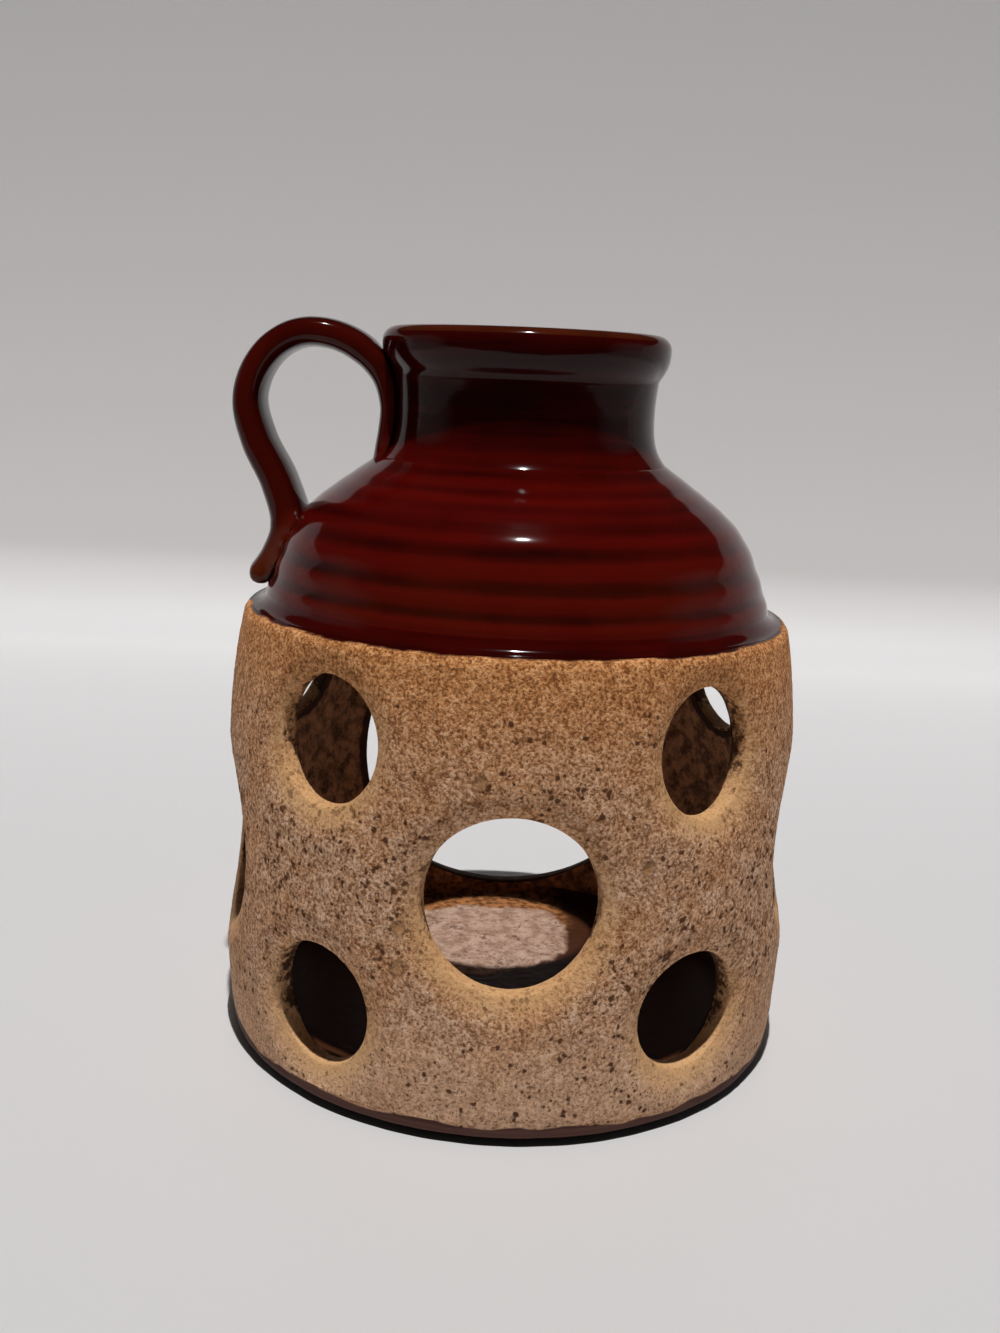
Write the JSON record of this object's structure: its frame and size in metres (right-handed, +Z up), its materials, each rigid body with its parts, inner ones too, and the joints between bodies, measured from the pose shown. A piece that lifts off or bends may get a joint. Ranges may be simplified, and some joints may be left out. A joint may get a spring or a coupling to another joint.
{
  "type": "pierced jug candle lantern",
  "caption": "Jug-shaped stoneware candle lantern: drum wall with round holes and a wide back opening, ribbed glazed shoulder, short neck, rolled rim and a strap handle at one side.",
  "frame": {"origin": "middle of the flat underside of the floor slab, on the axis of the pot", "axes": "+Z up along the axis of the pot, -Y towards the front hole, -X towards the handle"},
  "size_m": [0.1441, 0.1382, 0.1723],
  "materials": {
    "bare_clay": "fired clay with a thin wash of glaze, matte",
    "lava_glaze": "rough pitted sandy lava glaze, matte",
    "red_glaze": "smooth dark red-brown glaze, glossy"
  },
  "bodies": {
    "root": {"floor_slab": "bare_clay", "pierced_drum": "lava_glaze", "shoulder_dome": "red_glaze", "neck_collar": "red_glaze", "rim_lip": "red_glaze", "handle_strap": "red_glaze"}
  },
  "joints": []
}
